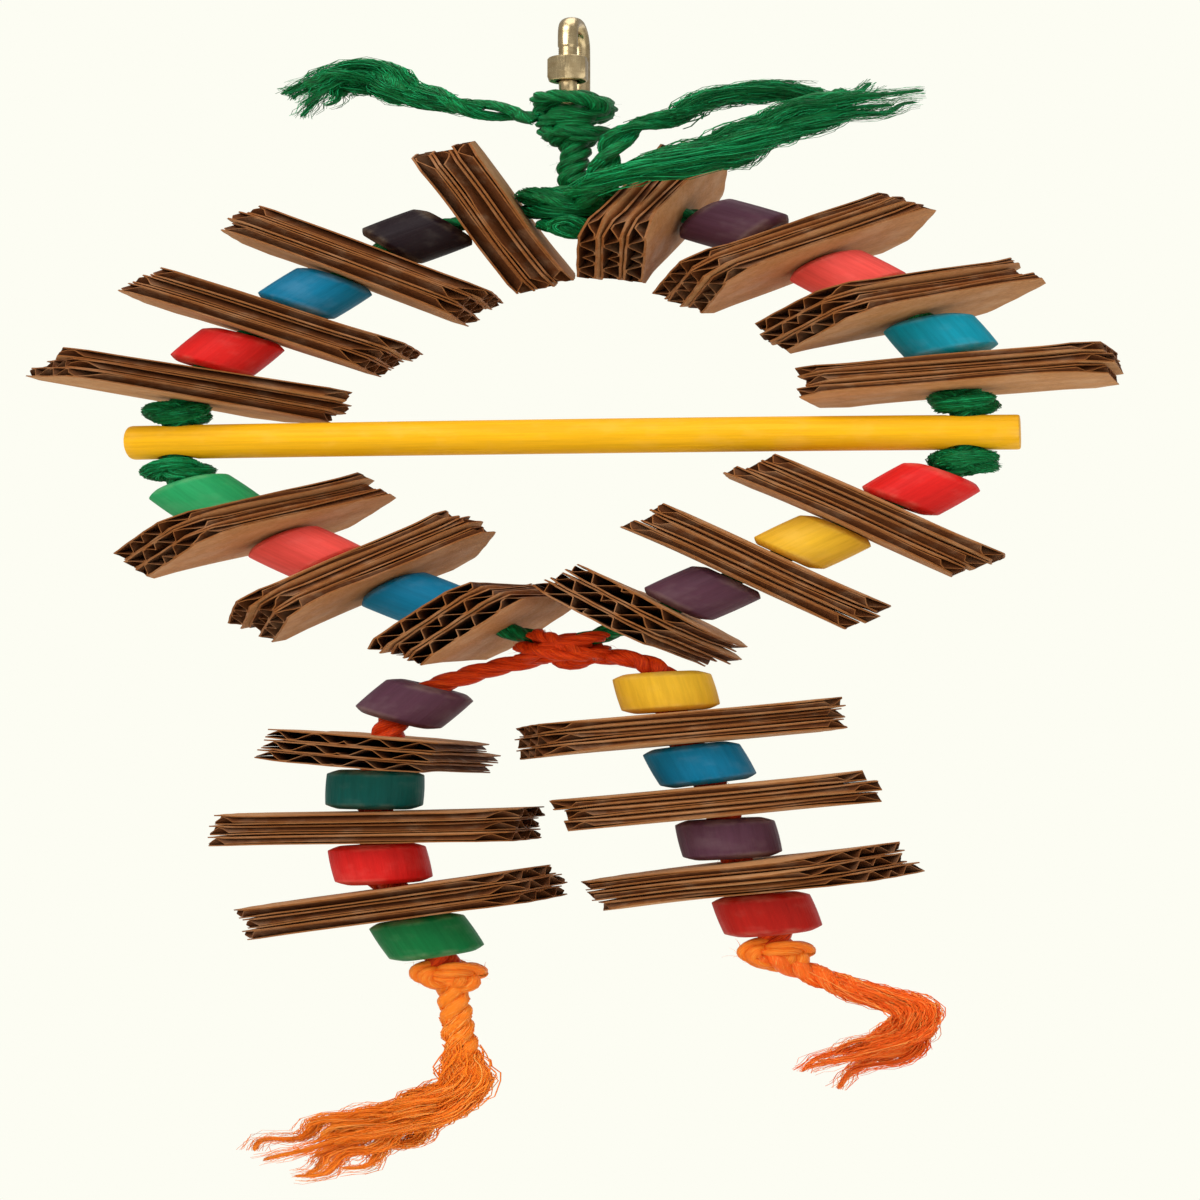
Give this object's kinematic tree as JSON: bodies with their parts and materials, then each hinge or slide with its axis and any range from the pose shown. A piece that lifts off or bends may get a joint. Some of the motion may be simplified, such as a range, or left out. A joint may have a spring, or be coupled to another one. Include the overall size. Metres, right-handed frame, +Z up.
{
  "type": "hanging bird toy",
  "caption": "Hanging shredding toy for pet birds: dyed wooden beads and corrugated cardboard on sisal rope, with a dowel perch across a rope ring",
  "frame": {"origin": "the point inside the top of the quick link that rests on the hook", "axes": "+Z up along the hanging line, +X along the perch to the viewer's right, -Y towards the viewer"},
  "size_m": [0.1871, 0.0564, 0.4205],
  "materials": {
    "link_steel": "bright nickel plate, a little warm",
    "nut_steel": "worn zinc plate",
    "green_rope": "dyed twisted sisal",
    "orange_rope": "dyed twisted sisal",
    "orange_rope_end": "dyed sisal, frayed",
    "perch_dye": "dyed birch dowel, satin",
    "cardboard": "kraft corrugated board, cut edges",
    "bead_plum": "dyed wood, satin",
    "bead_mauve": "dyed wood, satin",
    "bead_blue": "dyed wood, satin",
    "bead_turquoise": "dyed wood, satin",
    "bead_teal": "dyed wood, satin",
    "bead_red": "dyed wood, satin",
    "bead_coral": "dyed wood, satin",
    "bead_crimson": "dyed wood, satin",
    "bead_green": "dyed wood, satin",
    "bead_bottle": "dyed wood, satin",
    "bead_yellow": "dyed wood, satin"
  },
  "bodies": {
    "link": {"quick_link": "link_steel"},
    "sleeve_nut": {"link_sleeve_nut": "nut_steel"},
    "hanger": {"hanger_knot": "green_rope", "hanger_tail": "green_rope"},
    "neck": {"neck_rope": "green_rope"},
    "ring": {"ring_top_knot": "green_rope", "ring_tail_upper": "green_rope", "ring_tail_lower": "green_rope", "ring_rope_left": "green_rope", "ring_rope_right": "green_rope", "perch": "perch_dye", "join_knot": "orange_rope"},
    "left_strand": {"left_strand_rope": "orange_rope", "left_strand_tail": "orange_rope_end"},
    "right_strand": {"right_strand_rope": "orange_rope", "right_strand_tail": "orange_rope_end"},
    "upper_left_stack_1": {"upper_left_stack_1": "cardboard"},
    "upper_left_bead_1": {"upper_left_bead_1": "bead_plum"},
    "upper_left_stack_2": {"upper_left_stack_2": "cardboard"},
    "upper_left_bead_2": {"upper_left_bead_2": "bead_blue"},
    "upper_left_stack_3": {"upper_left_stack_3": "cardboard"},
    "upper_left_bead_3": {"upper_left_bead_3": "bead_red"},
    "upper_left_stack_4": {"upper_left_stack_4": "cardboard"},
    "upper_right_stack_1": {"upper_right_stack_1": "cardboard"},
    "upper_right_bead_1": {"upper_right_bead_1": "bead_mauve"},
    "upper_right_stack_2": {"upper_right_stack_2": "cardboard"},
    "upper_right_bead_2": {"upper_right_bead_2": "bead_coral"},
    "upper_right_stack_3": {"upper_right_stack_3": "cardboard"},
    "upper_right_bead_3": {"upper_right_bead_3": "bead_turquoise"},
    "upper_right_stack_4": {"upper_right_stack_4": "cardboard"},
    "lower_left_bead_1": {"lower_left_bead_1": "bead_green"},
    "lower_left_stack_1": {"lower_left_stack_1": "cardboard"},
    "lower_left_bead_2": {"lower_left_bead_2": "bead_coral"},
    "lower_left_stack_2": {"lower_left_stack_2": "cardboard"},
    "lower_left_bead_3": {"lower_left_bead_3": "bead_blue"},
    "lower_left_stack_3": {"lower_left_stack_3": "cardboard"},
    "lower_right_bead_1": {"lower_right_bead_1": "bead_red"},
    "lower_right_stack_1": {"lower_right_stack_1": "cardboard"},
    "lower_right_bead_2": {"lower_right_bead_2": "bead_yellow"},
    "lower_right_stack_2": {"lower_right_stack_2": "cardboard"},
    "lower_right_bead_3": {"lower_right_bead_3": "bead_mauve"},
    "lower_right_stack_3": {"lower_right_stack_3": "cardboard"},
    "left_strand_bead_1": {"left_strand_bead_1": "bead_mauve"},
    "left_strand_stack_1": {"left_strand_stack_1": "cardboard"},
    "left_strand_bead_2": {"left_strand_bead_2": "bead_teal"},
    "left_strand_stack_2": {"left_strand_stack_2": "cardboard"},
    "left_strand_bead_3": {"left_strand_bead_3": "bead_red"},
    "left_strand_stack_3": {"left_strand_stack_3": "cardboard"},
    "left_strand_bead_4": {"left_strand_bead_4": "bead_bottle"},
    "right_strand_bead_1": {"right_strand_bead_1": "bead_yellow"},
    "right_strand_stack_1": {"right_strand_stack_1": "cardboard"},
    "right_strand_bead_2": {"right_strand_bead_2": "bead_blue"},
    "right_strand_stack_2": {"right_strand_stack_2": "cardboard"},
    "right_strand_bead_3": {"right_strand_bead_3": "bead_mauve"},
    "right_strand_stack_3": {"right_strand_stack_3": "cardboard"},
    "right_strand_bead_4": {"right_strand_bead_4": "bead_crimson"}
  },
  "joints": [
    {"name": "nut_travel", "type": "slide", "parent": "link", "child": "sleeve_nut", "axis": [0, 0, 1], "range_m": [0, 0.008]},
    {"name": "swing_sideways", "type": "hinge", "parent": "link", "child": "hanger", "pos_m": [0, 0, -0.03125], "axis": [0, 1, 0], "range_deg": [-25, 25]},
    {"name": "swing_fore_and_aft", "type": "hinge", "parent": "hanger", "child": "neck", "pos_m": [0, 0, -0.04837], "axis": [1, 0, 0], "range_deg": [-25, 25]},
    {"name": "ring_twist", "type": "hinge", "parent": "neck", "child": "ring", "pos_m": [0, 0, -0.05862], "axis": [0, 0, 1], "range_deg": [-90, 90]},
    {"name": "left_strand_swing", "type": "hinge", "parent": "ring", "child": "left_strand", "pos_m": [-0.00893, 0, -0.23749], "axis": [1, 0, 0], "range_deg": [-25, 25]},
    {"name": "right_strand_swing", "type": "hinge", "parent": "ring", "child": "right_strand", "pos_m": [0.00627, 0, -0.2357], "axis": [1, 0, 0], "range_deg": [-25, 25]},
    {"name": "upper_left_stack_1_turn", "type": "hinge", "parent": "ring", "child": "upper_left_stack_1", "pos_m": [-0.01368, 0, -0.07206], "axis": [-0.9529, 0, -0.3032], "continuous": true},
    {"name": "upper_left_stack_2_turn", "type": "hinge", "parent": "ring", "child": "upper_left_stack_2", "pos_m": [-0.03685, 0, -0.08896], "axis": [-0.6455, 0, -0.7637], "continuous": true},
    {"name": "upper_left_stack_3_turn", "type": "hinge", "parent": "ring", "child": "upper_left_stack_3", "pos_m": [-0.05278, 0, -0.10988], "axis": [-0.5836, 0, -0.8121], "continuous": true},
    {"name": "upper_left_stack_4_turn", "type": "hinge", "parent": "ring", "child": "upper_left_stack_4", "pos_m": [-0.06655, 0, -0.13379], "axis": [-0.3133, 0, -0.9497], "continuous": true},
    {"name": "upper_right_stack_1_turn", "type": "hinge", "parent": "ring", "child": "upper_right_stack_1", "pos_m": [0.01377, 0, -0.07125], "axis": [0.9675, 0, -0.253], "range_deg": [-8, 40]},
    {"name": "upper_right_stack_2_turn", "type": "hinge", "parent": "ring", "child": "upper_right_stack_2", "pos_m": [0.03768, 0, -0.08697], "axis": [0.6989, 0, -0.7152], "continuous": true},
    {"name": "upper_right_stack_3_turn", "type": "hinge", "parent": "ring", "child": "upper_right_stack_3", "pos_m": [0.05522, 0, -0.10736], "axis": [0.5626, 0, -0.8267], "continuous": true},
    {"name": "upper_right_stack_4_turn", "type": "hinge", "parent": "ring", "child": "upper_right_stack_4", "pos_m": [0.0656, 0, -0.13376], "axis": [0.1355, 0, -0.9908], "continuous": true},
    {"name": "lower_left_stack_1_turn", "type": "hinge", "parent": "ring", "child": "lower_left_stack_1", "pos_m": [-0.05493, 0, -0.18676], "axis": [0.6498, 0, -0.7601], "continuous": true},
    {"name": "lower_left_stack_2_turn", "type": "hinge", "parent": "ring", "child": "lower_left_stack_2", "pos_m": [-0.03611, 0, -0.20562], "axis": [0.7487, 0, -0.6629], "continuous": true},
    {"name": "lower_left_stack_3_turn", "type": "hinge", "parent": "ring", "child": "lower_left_stack_3", "pos_m": [-0.01592, 0, -0.22241], "axis": [0.7966, 0, -0.6045], "range_deg": [-8, 6]},
    {"name": "lower_right_stack_1_turn", "type": "hinge", "parent": "ring", "child": "lower_right_stack_1", "pos_m": [0.04924, 0, -0.18515], "axis": [-0.6984, 0, -0.7157], "continuous": true},
    {"name": "lower_right_stack_2_turn", "type": "hinge", "parent": "ring", "child": "lower_right_stack_2", "pos_m": [0.03106, 0, -0.2036], "axis": [-0.7095, 0, -0.7047], "continuous": true},
    {"name": "lower_right_stack_3_turn", "type": "hinge", "parent": "ring", "child": "lower_right_stack_3", "pos_m": [0.01216, 0, -0.22168], "axis": [-0.749, 0, -0.6626], "range_deg": [-8, 6]},
    {"name": "left_strand_stack_1_turn", "type": "hinge", "parent": "left_strand", "child": "left_strand_stack_1", "pos_m": [-0.03241, 0, -0.26984], "axis": [-0.1676, 0, -0.9859], "range_deg": [-25, 25]},
    {"name": "left_strand_stack_2_turn", "type": "hinge", "parent": "left_strand", "child": "left_strand_stack_2", "pos_m": [-0.03305, 0, -0.297], "axis": [0.0571, 0, -0.9984], "range_deg": [-25, 25]},
    {"name": "left_strand_stack_3_turn", "type": "hinge", "parent": "left_strand", "child": "left_strand_stack_3", "pos_m": [-0.02881, 0, -0.32388], "axis": [0.3054, 0, -0.9522], "range_deg": [-25, 25]},
    {"name": "right_strand_stack_1_turn", "type": "hinge", "parent": "right_strand", "child": "right_strand_stack_1", "pos_m": [0.01789, 0, -0.26154], "axis": [0.1999, 0, -0.9798], "range_deg": [-25, 25]},
    {"name": "right_strand_stack_2_turn", "type": "hinge", "parent": "right_strand", "child": "right_strand_stack_2", "pos_m": [0.02422, 0, -0.28731], "axis": [0.1999, 0, -0.9798], "range_deg": [-25, 25]},
    {"name": "right_strand_stack_3_turn", "type": "hinge", "parent": "right_strand", "child": "right_strand_stack_3", "pos_m": [0.02905, 0, -0.31413], "axis": [0.2656, 0, -0.9641], "range_deg": [-25, 25]},
    {"name": "upper_left_bead_1_turn", "type": "hinge", "parent": "ring", "child": "upper_left_bead_1", "pos_m": [-0.0272, 0, -0.07847], "axis": [-0.7966, 0, -0.6045], "continuous": true},
    {"name": "upper_left_bead_2_turn", "type": "hinge", "parent": "ring", "child": "upper_left_bead_2", "pos_m": [-0.04504, 0, -0.09934], "axis": [-0.6065, 0, -0.7951], "continuous": true},
    {"name": "upper_left_bead_3_turn", "type": "hinge", "parent": "ring", "child": "upper_left_bead_3", "pos_m": [-0.06047, 0, -0.12096], "axis": [-0.505, 0, -0.8631], "continuous": true},
    {"name": "upper_right_bead_1_turn", "type": "hinge", "parent": "ring", "child": "upper_right_bead_1", "pos_m": [0.02745, 0, -0.0771], "axis": [0.8351, 0, -0.5502], "continuous": true},
    {"name": "upper_right_bead_2_turn", "type": "hinge", "parent": "ring", "child": "upper_right_bead_2", "pos_m": [0.04672, 0, -0.09672], "axis": [0.653, 0, -0.7574], "continuous": true},
    {"name": "upper_right_bead_3_turn", "type": "hinge", "parent": "ring", "child": "upper_right_bead_3", "pos_m": [0.06224, 0, -0.11983], "axis": [0.3599, 0, -0.933], "continuous": true},
    {"name": "lower_left_bead_1_turn", "type": "hinge", "parent": "ring", "child": "lower_left_bead_1", "pos_m": [-0.06363, 0, -0.17637], "axis": [0.5678, 0, -0.8232], "continuous": true},
    {"name": "lower_left_bead_2_turn", "type": "hinge", "parent": "ring", "child": "lower_left_bead_2", "pos_m": [-0.04595, 0, -0.19669], "axis": [0.707, 0, -0.7072], "continuous": true},
    {"name": "lower_left_bead_3_turn", "type": "hinge", "parent": "ring", "child": "lower_left_bead_3", "pos_m": [-0.02635, 0, -0.21427], "axis": [0.764, 0, -0.6452], "continuous": true},
    {"name": "lower_right_bead_1_turn", "type": "hinge", "parent": "ring", "child": "lower_right_bead_1", "pos_m": [0.05848, 0, -0.17538], "axis": [-0.6334, 0, -0.7738], "continuous": true},
    {"name": "lower_right_bead_2_turn", "type": "hinge", "parent": "ring", "child": "lower_right_bead_2", "pos_m": [0.04021, 0, -0.19441], "axis": [-0.7022, 0, -0.712], "continuous": true},
    {"name": "lower_right_bead_3_turn", "type": "hinge", "parent": "ring", "child": "lower_right_bead_3", "pos_m": [0.02175, 0, -0.21269], "axis": [-0.7222, 0, -0.6917], "continuous": true},
    {"name": "left_strand_bead_1_turn", "type": "hinge", "parent": "left_strand", "child": "left_strand_bead_1", "pos_m": [-0.02699, 0, -0.25249], "axis": [-0.4858, 0, -0.8741], "continuous": true},
    {"name": "left_strand_bead_2_turn", "type": "hinge", "parent": "left_strand", "child": "left_strand_bead_2", "pos_m": [-0.03352, 0, -0.28364], "axis": [-0.017, 0, -0.9999], "continuous": true},
    {"name": "left_strand_bead_3_turn", "type": "hinge", "parent": "left_strand", "child": "left_strand_bead_3", "pos_m": [-0.03244, 0, -0.31027], "axis": [0.1182, 0, -0.993], "continuous": true},
    {"name": "left_strand_bead_4_turn", "type": "hinge", "parent": "left_strand", "child": "left_strand_bead_4", "pos_m": [-0.0245, 0, -0.33612], "axis": [0.3169, 0, -0.9485], "continuous": true},
    {"name": "right_strand_bead_1_turn", "type": "hinge", "parent": "right_strand", "child": "right_strand_bead_1", "pos_m": [0.0156, 0, -0.24843], "axis": [0.1368, 0, -0.9906], "continuous": true},
    {"name": "right_strand_bead_2_turn", "type": "hinge", "parent": "right_strand", "child": "right_strand_bead_2", "pos_m": [0.02114, 0, -0.2744], "axis": [0.257, 0, -0.9664], "continuous": true},
    {"name": "right_strand_bead_3_turn", "type": "hinge", "parent": "right_strand", "child": "right_strand_bead_3", "pos_m": [0.02588, 0, -0.30065], "axis": [0.1144, 0, -0.9934], "continuous": true},
    {"name": "right_strand_bead_4_turn", "type": "hinge", "parent": "right_strand", "child": "right_strand_bead_4", "pos_m": [0.0321, 0, -0.32721], "axis": [0.1847, 0, -0.9828], "continuous": true}
  ]
}
